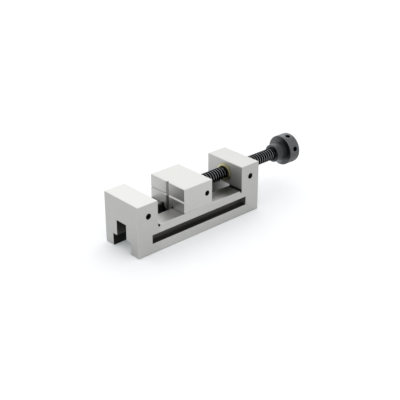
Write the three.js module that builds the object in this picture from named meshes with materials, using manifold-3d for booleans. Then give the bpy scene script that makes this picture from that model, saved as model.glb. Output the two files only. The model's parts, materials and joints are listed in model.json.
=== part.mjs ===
// Precision vise of hardened and ground steel, in millimetres, +Z up, +X from the fixed jaw to the knob.
// A knob turns the lead screw in a brass nut, and the screw pushes and pulls the moving jaw.
import * as THREE from "three";
import { mergeVertices } from "three/addons/utils/BufferGeometryUtils.js";
import Module from "manifold-3d";

const wasm = await Module();
wasm.setup();

// Vise body
const bodyLength = 198;
const bodyWidth = 63;
const deckHeight = 35.3;
const jawHeight = 32;
const fixedJawLength = 30.6;
const endBlockLength = 30;
const edgeBreak = 0.5;
const reliefRadius = 1.2;
const reliefDrop = 1;

// T-slot along the body, open at both ends and below
const slotWidth = 18;
const slotRise = 1.7;
const wideSlotWidth = 33.6;
const wideSlotHeight = 16.6;

// Clamping slot in each long side
const sideSlotStart = 21.2;
const sideSlotLength = 154.2;
const sideSlotBottom = 13.3;
const sideSlotHeight = 11.6;
const sideSlotDepth = 8;

// Tapped hole for a work stop in each side of the fixed jaw
const stopHoleInset = 16.2;
const stopHoleRadius = 3.4;
const stopHoleDepth = 16;
const holeChamfer = 0.6;

// Moving jaw
const jawOpening = 41;
const movingJawLength = 45.4;
const crossGrooveWidth = 3;
const crossGrooveDrop = 1.3;
const uprightGrooveWidth = 5;
const slideGap = 0.08;
const tongueReliefRadius = 1;

// Keeper plate under the moving jaw, and its two cap screws
const keeperSideGap = 0.4;
const keeperThickness = 9;
const keeperSetback = 3;
const keeperScrewInset = 11;
const keeperScrewGrip = 18;
const capThreadRadius = 3;
const capHeadRadius = 5;
const capHeadHeight = 6;
const capSocketRadius = 2.9;
const capSocketDepth = 3;
const counterboreGap = 0.5;
const headSink = 0.4;

// Lead screw: trapezoidal thread, right hand
const pitch = 4;
const threadRadius = 8;
const threadDepth = 2.25;
const crestFlat = 1.46;
const flankAngle = THREE.MathUtils.degToRad(15);
const threadLead = 1;
const shownScrewLength = 138.4;
const noseRadius = 5.6;
const journalGap = 0.2;
const noseBoreDepth = 24;
const thrustDiscThickness = 3;
const thrustBallRadius = 3;
const ballStandOutShare = 0.5;

// Retaining groove in the nose, and the two dog-point screws that run in it
const retainerInset = 8.4;
const retainerRadius = 2.9;
const retainerSink = 9.7;
const grooveRadius = 4;
const dogRadius = 2;
const dogSideGap = 0.3;

// Brass nut in the end block, and its two lock screws
const nutFlangeRadius = 11.5;
const nutFlangeThickness = 3;
const nutFlangeChamfer = 0.8;
const nutRadius = 10.5;
const nutSetback = 2;
const nutMouthGap = 0.8;
const nutMinorRadius = 6;
const nutMajorRadius = 8.25;
const threadPlay = 0.15;
const lockScrewRadius = 3.3;
const lockScrewSink = 4.9;

// Knob
const hubRadius = 12;
const hubLength = 15.9;
const knobRadius = 20.2;
const knobLength = 17.2;
const knobChamfer = 0.5;
const hubRecessRadius = 9;
const hubRecessDepth = 3;
const spigotRadius = 5.5;
const tommyHolePlace = 9;
const tommyHoleRadius = 3.3;
const tommyHoleDepth = 11.5;
const tommyHoleCount = 6;
const tommyPhase = THREE.MathUtils.degToRad(44);
const knobRecessRadius = 7.5;
const knobRecessDepth = 8.5;
const washerGap = 0.4;
const washerThickness = 1.5;
const knobScrewGrip = 14;
const drivePinRadius = 2;
const drivePinLength = 16;

// Clearances and fineness
const fitGap = 0.1;
const overrun = 2;
const roundSides = 24;
const largeSides = 48;
const stepsPerTurn = 16;
const ballSides = 16;
const hexSides = 6;
const socketShare = 0.55;

// Places along the vise, counted from the outer face of the fixed jaw
const totalHeight = deckHeight + jawHeight;
const endBlockFace = bodyLength - endBlockLength;
const jawFace = fixedJawLength + jawOpening;
const jawRear = jawFace + movingJawLength;
const spindleHeight = deckHeight + jawHeight / 2;
const knobEnd = jawRear + shownScrewLength + hubLength + knobLength;
const keeperTop = wideSlotHeight - slideGap;
const rootRadius = threadRadius - threadDepth;
const threadOrigin = jawRear + threadLead - 2 * pitch;

// Materials
function finish(color, roughness, metalness) {
  return new THREE.MeshStandardMaterial({ color, roughness, metalness });
}

const groundSteel = () => finish(0xb9b7b1, 0.32, 0.9);
const blackSteel = () => finish(0x2b2d2f, 0.45, 0.8);
const greySteel = () => finish(0x4a4e52, 0.4, 0.8);
const brightSteel = () => finish(0xc8c9ca, 0.2, 1);
const brass = () => finish(0xb08d3c, 0.35, 0.9);

// A closed geometry as a solid that can be joined and cut
function solid(geometry) {
  const bare = geometry.clone();
  bare.deleteAttribute("normal");
  bare.deleteAttribute("uv");
  const merged = mergeVertices(bare);
  const corners = merged.index.array;
  const kept = [];
  for (let i = 0; i < corners.length; i += 3) {
    const [a, b, c] = [corners[i], corners[i + 1], corners[i + 2]];
    if (a !== b && b !== c && c !== a) kept.push(a, b, c);
  }
  const vertProperties = new Float32Array(merged.attributes.position.array);
  return new wasm.Manifold(new wasm.Mesh({ numProp: 3, vertProperties, triVerts: new Uint32Array(kept) }));
}

// A solid as a named mesh
function piece(name, shape, material) {
  const { vertProperties, triVerts } = shape.getMesh();
  const geometry = new THREE.BufferGeometry();
  geometry.setAttribute("position", new THREE.BufferAttribute(vertProperties, 3));
  geometry.setIndex(new THREE.BufferAttribute(triVerts, 1));
  const mesh = new THREE.Mesh(geometry, material);
  mesh.name = name;
  return mesh;
}

// A block between two corners
function block(low, high) {
  const size = high.map((value, axis) => value - low[axis]);
  const geometry = new THREE.BoxGeometry(...size);
  geometry.translate(...high.map((value, axis) => (value + low[axis]) / 2));
  return solid(geometry);
}

// A profile of [position, radius] points turned about the X axis, its ends closed to the axis
function turned(profile, sides = roundSides) {
  const first = profile[0];
  const last = profile[profile.length - 1];
  const closed = [[first[0], 0], ...profile, [last[0], 0]];
  const points = closed.map(([position, radius]) => new THREE.Vector2(radius, position));
  const geometry = new THREE.LatheGeometry(points, sides);
  geometry.rotateZ(-Math.PI / 2);
  return solid(geometry);
}

// The same profile turned about the Y axis, towards +1 or -1, at a place
function turnedSideways(profile, side, x, z, sides = roundSides) {
  return turned(profile, sides).rotate([0, 0, side * 90]).translate([x, 0, z]);
}

// An outline whose outer corners are broken, each by two points a little way along its sides
function brokenOutline(corners, size) {
  const outline = [];
  corners.forEach((corner, i) => {
    const point = new THREE.Vector2(...corner);
    const before = new THREE.Vector2(...corners[(i + corners.length - 1) % corners.length]).sub(point);
    const after = new THREE.Vector2(...corners[(i + 1) % corners.length]).sub(point);
    if (after.cross(before) > 0) {
      outline.push(point.clone().addScaledVector(before.normalize(), size));
      outline.push(point.clone().addScaledVector(after.normalize(), size));
    } else {
      outline.push(point);
    }
  });
  return outline;
}

// An outline in the XZ plane, extruded across the vise with its side edges broken too
function acrossVise(corners, width) {
  const shape = new THREE.Shape(brokenOutline(corners, edgeBreak));
  const geometry = new THREE.ExtrudeGeometry(shape, {
    depth: width - 2 * edgeBreak,
    bevelThickness: edgeBreak,
    bevelSize: edgeBreak,
    bevelOffset: -edgeBreak,
    bevelSegments: 1,
  });
  geometry.translate(0, 0, edgeBreak - width / 2);
  geometry.rotateX(Math.PI / 2);
  return solid(geometry);
}

// A groove of 90 degrees, cut into the face x = 0 along Y or along Z
function vGroove(width, length, alongZ) {
  const half = width / 2;
  const shape = new THREE.Shape([
    new THREE.Vector2(-half, -half - half),
    new THREE.Vector2(half, 0),
    new THREE.Vector2(-half, half + half),
  ]);
  const geometry = new THREE.ExtrudeGeometry(shape, { depth: length, bevelEnabled: false });
  geometry.translate(0, 0, -length / 2);
  if (!alongZ) geometry.rotateX(Math.PI / 2);
  return solid(geometry);
}

// Width of the thread ridge at a radius
function ridgeWidth(radius, play) {
  return crestFlat + 2 * (threadRadius - radius) * Math.tan(flankAngle) + 2 * play;
}

// A helical thread about the X axis, whose ridge starts at x = 0: four points a step, one turn a pitch
function helicalSolid(innerRadius, outerRadius, play, length, steps) {
  const total = Math.ceil(length / pitch + 2) * steps;
  const wide = ridgeWidth(innerRadius, play) / 2;
  const narrow = ridgeWidth(outerRadius, play) / 2;
  const ridge = [[-wide, innerRadius], [-narrow, outerRadius], [narrow, outerRadius], [wide, innerRadius]];
  const positions = [];
  for (let i = 0; i <= total; i += 1) {
    const angle = (2 * Math.PI * (i % steps)) / steps;
    for (const [offset, radius] of ridge) {
      positions.push((pitch * i) / steps + pitch / 2 + offset);
      positions.push(radius * Math.cos(angle), radius * Math.sin(angle));
    }
  }
  const at = (step, point) => step * ridge.length + point;
  const last = ridge.length - 1;
  const faces = [];
  const quad = (a, b, c, d) => faces.push(a, b, c, a, c, d);
  for (let i = 0; i < total; i += 1) {
    for (let j = 0; j < last; j += 1) quad(at(i, j), at(i + 1, j), at(i + 1, j + 1), at(i, j + 1));
    if (i < total - steps) quad(at(i, last), at(i + 1, last), at(i + 1 + steps, 0), at(i + steps, 0));
  }
  const startPole = positions.length / 3;
  positions.push(pitch / 2 - wide + pitch / 2, 0, 0);
  const endPole = startPole + 1;
  positions.push((pitch * total) / steps + wide, 0, 0);
  for (let i = 0; i < steps; i += 1) {
    faces.push(at(i + 1, 0), at(i, 0), startPole);
    faces.push(at(total - steps + i, last), at(total - steps + i + 1, last), endPole);
  }
  for (let j = 0; j < last; j += 1) {
    faces.push(at(0, j), at(0, j + 1), startPole);
    faces.push(at(total, j + 1), at(total, j), endPole);
  }
  faces.push(at(0, last), at(steps, 0), startPole);
  faces.push(at(total, 0), at(total - steps, last), endPole);
  const geometry = new THREE.BufferGeometry();
  geometry.setAttribute("position", new THREE.Float32BufferAttribute(positions, 3));
  geometry.setIndex(faces);
  return solid(geometry);
}

// Where a turn of the thread starts, a pitch or more before a place along the vise
function turnBefore(x) {
  return threadOrigin + Math.floor((x - threadOrigin) / pitch - 1) * pitch;
}

// A socket head cap screw about the X axis: the head's underside at x = 0, the shank towards -X
function capScrew(grip) {
  const socket = turned(
    [[capHeadHeight - capSocketDepth, capSocketRadius], [capHeadHeight + overrun, capSocketRadius]],
    hexSides,
  );
  const profile = [
    [-grip, capThreadRadius - edgeBreak],
    [edgeBreak - grip, capThreadRadius],
    [0, capThreadRadius],
    [0, capHeadRadius],
    [capHeadHeight - edgeBreak, capHeadRadius],
    [capHeadHeight, capHeadRadius - edgeBreak],
  ];
  return turned(profile).subtract(socket);
}

// The hole for such a screw: thread, then a clearance hole and a counterbore for the head
function capScrewHole(grip, counterboreLength) {
  return turned([
    [-grip - fitGap, capThreadRadius + fitGap],
    [0, capThreadRadius + fitGap],
    [0, capHeadRadius + counterboreGap],
    [counterboreLength, capHeadRadius + counterboreGap],
  ]);
}

// A grub screw about the X axis with a hexagon socket in its outer end, from x = 0 outwards
function grubScrew(radius, length, dogLength) {
  const socketRadius = radius * socketShare;
  const socket = turned([[length - socketRadius, socketRadius], [length + overrun, socketRadius]], hexSides);
  const dog = dogLength > 0 ? [[-dogLength, dogRadius], [0, dogRadius]] : [];
  const body = [
    [0, radius - edgeBreak],
    [edgeBreak, radius],
    [length - edgeBreak, radius],
    [length, radius - edgeBreak],
  ];
  return turned([...dog, ...body]).subtract(socket);
}

// A tapped hole that runs in from a side face, with a chamfered mouth
function sideHole(radius, innerEnd, side, x, z) {
  const face = bodyWidth / 2;
  const profile = [
    [innerEnd, radius],
    [face - holeChamfer, radius],
    [face, radius + holeChamfer],
    [face + overrun, radius + holeChamfer],
  ];
  return turnedSideways(profile, side, x, z);
}

// The T-slot with its upper edges broken where it opens through the deck
function slotCutter() {
  const from = -overrun;
  const to = bodyLength + overrun;
  const narrow = block([from, -slotWidth / 2, 0], [to, slotWidth / 2, deckHeight + slotRise]);
  const wide = block([from, -wideSlotWidth / 2, -overrun], [to, wideSlotWidth / 2, wideSlotHeight]);
  const mouth = new THREE.Shape([
    new THREE.Vector2(0, slotWidth / 2 + edgeBreak),
    new THREE.Vector2(0, -slotWidth / 2 - edgeBreak),
    new THREE.Vector2(edgeBreak, -slotWidth / 2),
    new THREE.Vector2(edgeBreak, slotWidth / 2),
  ]);
  const openLength = endBlockFace - fixedJawLength;
  const broken = new THREE.ExtrudeGeometry(mouth, { depth: openLength, bevelEnabled: false });
  broken.rotateY(Math.PI / 2);
  broken.translate(fixedJawLength, 0, deckHeight);
  return narrow.add(wide).add(solid(broken));
}

// Body: base, fixed jaw and end block from one piece of steel
function viseBody() {
  const corners = [
    [0, 0],
    [bodyLength, 0],
    [bodyLength, totalHeight],
    [endBlockFace, totalHeight],
    [endBlockFace, deckHeight],
    [fixedJawLength, deckHeight],
    [fixedJawLength, totalHeight],
    [0, totalHeight],
  ];
  let shape = acrossVise(corners, bodyWidth).subtract(slotCutter());
  for (const side of [-1, 1]) {
    const floor = side * (bodyWidth / 2 - sideSlotDepth);
    const outside = side * (bodyWidth / 2 + overrun);
    shape = shape.subtract(block(
      [sideSlotStart, Math.min(floor, outside), sideSlotBottom],
      [sideSlotStart + sideSlotLength, Math.max(floor, outside), sideSlotBottom + sideSlotHeight],
    ));
    const stopHoleEnd = bodyWidth / 2 - stopHoleDepth;
    shape = shape.subtract(sideHole(stopHoleRadius, stopHoleEnd, side, stopHoleInset, spindleHeight));
    const lockX = endBlockFace + endBlockLength / 2;
    shape = shape.subtract(sideHole(lockScrewRadius + fitGap, 0, side, lockX, spindleHeight));
    for (const x of [fixedJawLength + reliefRadius, endBlockFace - reliefRadius]) {
      const relief = [[0, reliefRadius], [bodyWidth / 2 + overrun, reliefRadius]];
      shape = shape.subtract(turnedSideways(relief, side, x, deckHeight - reliefDrop));
    }
  }
  const nutBore = turned(
    [[-overrun, nutRadius + fitGap], [endBlockLength + overrun, nutRadius + fitGap]],
    largeSides,
  );
  return shape.subtract(nutBore.translate([endBlockFace, 0, spindleHeight]));
}

// Moving jaw, from its face at x = 0 and the deck at z = 0: block, tongue, grooves and bores
function movingJaw() {
  const corners = [
    [0, slideGap],
    [movingJawLength, slideGap],
    [movingJawLength, jawHeight],
    [0, jawHeight],
  ];
  const tongue = block(
    [0, slideGap - slotWidth / 2, keeperTop - deckHeight],
    [movingJawLength, slotWidth / 2 - slideGap, edgeBreak + edgeBreak],
  );
  let shape = acrossVise(corners, bodyWidth).add(tongue);
  const middle = spindleHeight - deckHeight;
  const cross = vGroove(crossGrooveWidth, bodyWidth + overrun, false);
  shape = shape.subtract(cross.translate([0, 0, middle - crossGrooveDrop]));
  const uprightFoot = keeperTop - deckHeight - overrun;
  const uprightLength = jawHeight + overrun - uprightFoot;
  const upright = vGroove(uprightGrooveWidth, uprightLength, true);
  shape = shape.subtract(upright.translate([0, 0, uprightFoot + uprightLength / 2]));
  const bore = turned([[-noseBoreDepth, noseRadius + journalGap], [overrun, noseRadius + journalGap]]);
  shape = shape.subtract(bore.translate([movingJawLength, 0, middle]));
  const rootRelief = turned(
    [[-overrun, tongueReliefRadius], [movingJawLength + overrun, tongueReliefRadius]],
    ballSides,
  );
  for (const side of [-1, 1]) {
    shape = shape.subtract(rootRelief.translate([0, side * (slotWidth / 2), tongueReliefRadius / 2]));
    const hole = sideHole(retainerRadius + fitGap, 0, side, movingJawLength - retainerInset, middle);
    shape = shape.subtract(hole);
  }
  for (const x of keeperScrewPlaces()) {
    const hole = capScrewHole(keeperScrewGrip, overrun).rotate([0, 90, 0]);
    shape = shape.subtract(hole.translate([x, 0, keeperHeadSeat()]));
  }
  return shape;
}

// Places of the keeper's screws along the moving jaw, and the height of the seats of their heads
function keeperScrewPlaces() {
  return [keeperScrewInset, movingJawLength - keeperScrewInset];
}

function keeperHeadSeat() {
  return keeperTop - keeperThickness + capHeadHeight + headSink - deckHeight;
}

// Keeper plate, which holds the jaw down from inside the T-slot
function keeperPlate() {
  const half = wideSlotWidth / 2 - keeperSideGap;
  const top = keeperTop - deckHeight;
  let shape = block(
    [keeperSetback, -half, top - keeperThickness],
    [movingJawLength - keeperSetback, half, top],
  );
  for (const x of keeperScrewPlaces()) {
    const hole = capScrewHole(keeperScrewGrip, capHeadHeight + headSink + overrun);
    shape = shape.subtract(hole.rotate([0, 90, 0]).translate([x, 0, keeperHeadSeat()]));
  }
  return shape;
}

// Lead screw, from the moving jaw's rear face at x = 0, its axis on X
function leadScrew() {
  const threadEnd = shownScrewLength + hubRecessDepth;
  const threadLength = threadEnd - threadLead;
  const crown = threadRadius + edgeBreak;
  const envelope = turned([
    [threadLead, rootRadius],
    [threadLead + crown - rootRadius, crown],
    [threadEnd - (crown - rootRadius), crown],
    [threadEnd, rootRadius],
  ]);
  const helix = helicalSolid(rootRadius, threadRadius, 0, threadLength + 2 * pitch, stepsPerTurn);
  const thread = helix.translate([threadOrigin - jawRear, 0, 0]).intersect(envelope);
  const grooveHalf = dogRadius + dogSideGap;
  const core = turned([
    [noseEnd(), noseRadius - edgeBreak],
    [noseEnd() + edgeBreak, noseRadius],
    [-retainerInset - grooveHalf, noseRadius],
    [-retainerInset - grooveHalf, grooveRadius],
    [-retainerInset + grooveHalf, grooveRadius],
    [-retainerInset + grooveHalf, noseRadius],
    [threadLead + edgeBreak, noseRadius],
    [threadEnd - edgeBreak, spigotRadius],
    [spigotEnd(), spigotRadius],
  ]);
  const seatRadius = thrustBallRadius + fitGap;
  const ballSeat = turned([
    [noseEnd() - overrun, seatRadius],
    [thrustFace() + 2 * thrustBallRadius + 2 * fitGap, seatRadius],
  ]);
  const screwHole = capScrewHole(knobScrewGrip, overrun).translate([spigotEnd() + washerThickness, 0, 0]);
  return thread.add(core).subtract(ballSeat).subtract(screwHole).subtract(drivePinHole());
}

// Inner face of the thrust disc, end of the nose and end of the spigot, from the jaw's rear face
function thrustFace() {
  return thrustDiscThickness - noseBoreDepth;
}

function noseEnd() {
  return thrustFace() + fitGap + 2 * thrustBallRadius * ballStandOutShare;
}

function spigotEnd() {
  return shownScrewLength + hubLength + knobLength - knobRecessDepth;
}

// Drive pin, half in the screw's spigot and half in the knob
function drivePinAt(radius, length) {
  const pin = turned([[spigotEnd() - length, radius], [spigotEnd(), radius]], ballSides);
  return pin.translate([0, 0, spigotRadius]);
}

function drivePinHole() {
  const radius = drivePinRadius + fitGap;
  const start = spigotEnd() - drivePinLength - fitGap;
  const hole = turned([[start, radius], [spigotEnd() + overrun, radius]], ballSides);
  return hole.translate([0, 0, spigotRadius]);
}

// Knob: hub and disc turned in one, bored for the screw, with radial holes for a tommy bar
function knob() {
  const start = shownScrewLength;
  const shoulder = start + hubLength;
  const end = shoulder + knobLength;
  let shape = turned([
    [start, hubRadius - edgeBreak],
    [start + edgeBreak, hubRadius],
    [shoulder, hubRadius],
    [shoulder, knobRadius - knobChamfer],
    [shoulder + knobChamfer, knobRadius],
    [end - knobChamfer, knobRadius],
    [end, knobRadius - knobChamfer],
  ], largeSides);
  const bore = turned([
    [start - overrun, hubRecessRadius],
    [start + hubRecessDepth + fitGap, hubRecessRadius],
    [start + hubRecessDepth + fitGap, spigotRadius + fitGap],
    [spigotEnd(), spigotRadius + fitGap],
    [spigotEnd(), knobRecessRadius],
    [end + overrun, knobRecessRadius],
  ]);
  shape = shape.subtract(bore).subtract(drivePinHole());
  const hole = turned([
    [knobRadius - tommyHoleDepth, tommyHoleRadius],
    [knobRadius + overrun, tommyHoleRadius],
  ]);
  for (let i = 0; i < tommyHoleCount; i += 1) {
    const angle = tommyPhase + (2 * Math.PI * i) / tommyHoleCount;
    const degrees = THREE.MathUtils.radToDeg(angle);
    const radial = hole.rotate([0, 0, 90]).rotate([degrees, 0, 0]);
    shape = shape.subtract(radial.translate([shoulder + tommyHolePlace, 0, 0]));
  }
  return shape;
}

// Brass nut, from the end block's inner face at x = 0: flange, body and internal thread
function spindleNut() {
  const end = endBlockLength - nutSetback;
  const outside = turned([
    [-nutFlangeThickness, nutFlangeRadius - nutFlangeChamfer],
    [nutFlangeChamfer - nutFlangeThickness, nutFlangeRadius],
    [0, nutFlangeRadius],
    [0, nutRadius],
    [end - edgeBreak, nutRadius],
    [end, nutRadius - edgeBreak],
  ], largeSides);
  const start = turnBefore(endBlockFace - nutFlangeThickness);
  const length = endBlockFace + end - start;
  const helix = helicalSolid(nutMinorRadius, nutMajorRadius, threadPlay, length, stepsPerTurn);
  const mouth = threadRadius + nutMouthGap;
  const flare = mouth - nutMinorRadius;
  const frontMouth = turned([
    [-nutFlangeThickness - overrun, mouth],
    [-nutFlangeThickness, mouth],
    [flare - nutFlangeThickness, nutMinorRadius],
  ]);
  const rearMouth = turned([[end - flare, nutMinorRadius], [end, mouth], [end + overrun, mouth]]);
  const threaded = outside.subtract(helix.translate([start - endBlockFace, 0, 0]));
  return threaded.subtract(frontMouth).subtract(rearMouth);
}

// Thrust disc at the bottom of the jaw's bore, and the ball between it and the nose
function thrustDisc() {
  return turned([[-noseBoreDepth, noseRadius], [thrustFace(), noseRadius]]);
}

function thrustBall() {
  return solid(new THREE.SphereGeometry(thrustBallRadius, ballSides, ballSides / 2));
}

// Washer under the head of the knob's screw
function knobWasher() {
  const ring = turned([[0, knobRecessRadius - washerGap], [washerThickness, knobRecessRadius - washerGap]]);
  const hole = [[-overrun, capThreadRadius + fitGap], [washerThickness + overrun, capThreadRadius + fitGap]];
  return ring.subtract(turned(hole));
}

// Pieces fixed to the body
function fixedGroup() {
  const group = new THREE.Group();
  group.add(piece("vise_body", viseBody(), groundSteel()));
  const nut = piece("spindle_nut", spindleNut(), brass());
  nut.position.set(endBlockFace, 0, spindleHeight);
  group.add(nut);
  const lockX = endBlockFace + endBlockLength / 2;
  const lockBase = nutRadius + fitGap;
  const lockLength = bodyWidth / 2 - lockScrewSink - lockBase;
  for (const [side, place] of [[-1, "near"], [1, "far"]]) {
    const shape = grubScrew(lockScrewRadius, lockLength, 0);
    const lockScrew = piece(`nut_lock_screw_${place}`, shape, greySteel());
    lockScrew.position.set(lockX, side * lockBase, spindleHeight);
    lockScrew.rotation.z = (side * Math.PI) / 2;
    group.add(lockScrew);
  }
  return group;
}

// Moving jaw and the pieces that slide with it
function slideGroup() {
  const group = new THREE.Group();
  group.position.set(jawFace, 0, deckHeight);
  group.add(piece("moving_jaw", movingJaw(), groundSteel()));
  group.add(piece("keeper_plate", keeperPlate(), groundSteel()));
  keeperScrewPlaces().forEach((x, i) => {
    const name = ["keeper_screw_front", "keeper_screw_rear"][i];
    const screw = piece(name, capScrew(keeperScrewGrip), blackSteel());
    screw.position.set(x, 0, keeperHeadSeat());
    screw.rotation.y = Math.PI / 2;
    group.add(screw);
  });
  const middle = spindleHeight - deckHeight;
  const disc = piece("thrust_disc", thrustDisc(), brightSteel());
  disc.position.set(movingJawLength, 0, middle);
  group.add(disc);
  const dogReach = retainerBase() - grooveRadius - fitGap;
  const retainerLength = bodyWidth / 2 - retainerSink - retainerBase();
  for (const [side, place] of [[-1, "near"], [1, "far"]]) {
    const shape = grubScrew(retainerRadius, retainerLength, dogReach);
    const screw = piece(`retaining_screw_${place}`, shape, blackSteel());
    screw.position.set(movingJawLength - retainerInset, side * retainerBase(), middle);
    screw.rotation.z = (side * Math.PI) / 2;
    group.add(screw);
  }
  return group;
}

// How far from the screw's axis the full width of a retaining screw starts
function retainerBase() {
  return noseRadius + journalGap + dogRadius;
}

// Lead screw, knob and the pieces that turn with them
function spindleGroup() {
  const group = new THREE.Group();
  group.position.set(jawRear, 0, spindleHeight);
  group.add(piece("lead_screw", leadScrew(), blackSteel()));
  const ball = piece("thrust_ball", thrustBall(), brightSteel());
  ball.position.x = thrustFace() + fitGap + thrustBallRadius;
  group.add(ball);
  group.add(piece("knob", knob(), greySteel()));
  group.add(piece("knob_drive_pin", drivePinAt(drivePinRadius, drivePinLength), brightSteel()));
  const washer = piece("knob_washer", knobWasher(), blackSteel());
  washer.position.x = spigotEnd();
  group.add(washer);
  const screw = piece("knob_screw", capScrew(knobScrewGrip), blackSteel());
  screw.position.x = spigotEnd() + washerThickness;
  group.add(screw);
  return group;
}

const vise = new THREE.Group();
vise.position.x = -knobEnd / 2;
vise.add(fixedGroup(), slideGroup(), spindleGroup());

export default vise;
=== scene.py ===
"""Precision vise: the turned and threaded pieces, the finishes and the stage, round the packed frame."""

import json
import math
from collections import namedtuple

import bmesh
import bpy
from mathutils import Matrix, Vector


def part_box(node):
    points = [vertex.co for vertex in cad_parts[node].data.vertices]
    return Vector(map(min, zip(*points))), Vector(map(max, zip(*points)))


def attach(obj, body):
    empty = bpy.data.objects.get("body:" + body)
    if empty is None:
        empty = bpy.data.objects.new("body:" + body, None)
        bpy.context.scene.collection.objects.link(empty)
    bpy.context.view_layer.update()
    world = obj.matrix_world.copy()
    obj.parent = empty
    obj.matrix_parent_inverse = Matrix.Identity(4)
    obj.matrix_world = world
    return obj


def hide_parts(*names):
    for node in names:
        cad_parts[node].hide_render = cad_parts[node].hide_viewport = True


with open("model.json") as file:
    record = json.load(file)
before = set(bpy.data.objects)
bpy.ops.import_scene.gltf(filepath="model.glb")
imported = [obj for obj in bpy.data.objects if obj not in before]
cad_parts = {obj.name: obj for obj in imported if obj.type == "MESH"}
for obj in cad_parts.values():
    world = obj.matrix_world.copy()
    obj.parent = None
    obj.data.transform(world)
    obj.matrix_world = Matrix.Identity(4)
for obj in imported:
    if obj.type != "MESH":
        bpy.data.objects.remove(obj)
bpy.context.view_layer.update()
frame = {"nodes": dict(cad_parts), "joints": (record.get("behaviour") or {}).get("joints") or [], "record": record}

bl_info = {
    "name": "Precision Vise",
    "version": (1, 0, 0),
    "blender": (4, 5, 0),
    "location": "3D View > Sidebar > Vise",
    "description": "Models a toolmaker's vise and its ground, blackened and brass finishes",
    "category": "Add Mesh",
}

FULL_TURN = 2 * math.pi
X_AXIS = Vector((1, 0, 0))

# Small lengths in metres: a hair, the tests for the same place and ring, the gap round fitted pieces,
# and how far a cutter reaches past what it cuts
HAIR = 1e-7
SAME_PLACE = 1e-6
SAME_RING = 1e-5
FIT_GAP = 0.0001
OVERRUN = 0.002

# Faces round a circle
SIDES = {"hexagon": 6, "pin": 32, "hole": 48, "cap_screw": 64, "washer": 72, "nut": 96, "knob": 144}
FILLET_STEPS = 3
SMOOTH_ANGLE = math.radians(32)

# How squarely an end face looks along the axis
END_FACE = 0.99

JOINTS = {joint["name"]: joint for joint in frame["joints"]}
OPENINGS = {opening["name"]: opening["box_m"] for opening in frame["record"]["physics"]["openings"]}


def span(node, axis):
    """Lowest and highest value of a CAD node along an axis."""
    low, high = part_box(node)
    index = "xyz".index(axis)
    return low[index], high[index]


def middle(node):
    """Middle of a CAD node's box."""
    low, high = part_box(node)
    return (low + high) / 2


def radius_of(node, axis="y"):
    """Half of a CAD node's width along an axis."""
    low, high = span(node, axis)
    return (high - low) / 2


KNOB_FRONT, KNOB_REAR = span("knob", "x")
SCREW_START, SCREW_END = span("lead_screw", "x")
NUT_FRONT, NUT_REAR = span("spindle_nut", "x")
JAW_FRONT, JAW_REAR = span("moving_jaw", "x")
BODY_START, BODY_END = span("vise_body", "x")
BODY_SIDE = span("vise_body", "y")[1]
BODY_TOP = span("vise_body", "z")[1]
WASHER_FRONT, WASHER_REAR = span("knob_washer", "x")
SCREW_HEIGHT = JOINTS["spindle_turn"]["pos_m"][2]
SCREW_CENTRE = (0, 0, SCREW_HEIGHT)


def plain(name, description, default, **kind):
    """A number that can be set."""
    return bpy.props.FloatProperty(name=name, description=description, default=default, **kind)


def metres(name, description, default):
    """A length that can be set."""
    return plain(name, description, default, unit="LENGTH")


def degrees(name, description, default):
    """An angle that can be set, given here in degrees."""
    return plain(name, description, math.radians(default), subtype="ANGLE")


def factor(name, description, default):
    """A share that can be set."""
    return plain(name, description, default, subtype="FACTOR")


def count(name, description, default, least):
    """A whole number that can be set."""
    return bpy.props.IntProperty(name=name, description=description, default=default, min=least)


def swatch(name, description, default):
    """A colour that can be set."""
    return bpy.props.FloatVectorProperty(
        name=name, description=description, default=default, size=3, subtype="COLOR")


class ThreadSizes(bpy.types.PropertyGroup):
    """Sizes of the trapezoidal thread on the lead screw and in its nut"""

    pitch: metres("Pitch", "Travel of one turn", 0.004)
    depth: metres("Depth", "From crest to root", 0.00225)
    crest: metres("Crest", "Flat on top of the thread", 0.00146)
    flank: degrees("Flank Angle", "Slope of the thread's sides", 15)
    rounding: metres("Rounding", "Round edges of crest and root", 0.0004)
    steps: count("Steps", "Faces round one turn", 40, 8)
    nut_bore: metres("Nut Bore", "Radius inside the nut's thread", 0.006)
    nut_root: metres("Nut Root", "Radius at the bottom of the nut's thread", 0.00825)
    play: metres("Play", "Gap between the flanks of screw and nut", 0.00015)


class SpindleSizes(bpy.types.PropertyGroup):
    """Sizes of the lead screw's plain ends"""

    lead: metres("Lead", "Plain shank between the jaw and the thread", 0.001)
    nose_radius: metres("Nose Radius", "Plain nose inside the moving jaw", 0.0056)
    groove_radius: metres("Groove Radius", "Bottom of the groove in the nose", 0.004)
    groove_width: metres("Groove Width", "Width of the groove in the nose", 0.0046)
    spigot_radius: metres("Spigot Radius", "Plain end inside the knob", 0.0055)
    edge: metres("Chamfer", "Chamfer at the ends", 0.0005)


class NutSizes(bpy.types.PropertyGroup):
    """Sizes of the brass nut"""

    flange: metres("Flange", "Thickness of the flange", 0.003)
    flange_edge: metres("Flange Chamfer", "Chamfer round the flange's front", 0.0008)
    body_radius: metres("Body Radius", "Radius inside the end block", 0.0105)
    mouth_gap: metres("Mouth", "How much wider than the screw the thread's mouth is", 0.0008)


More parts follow.
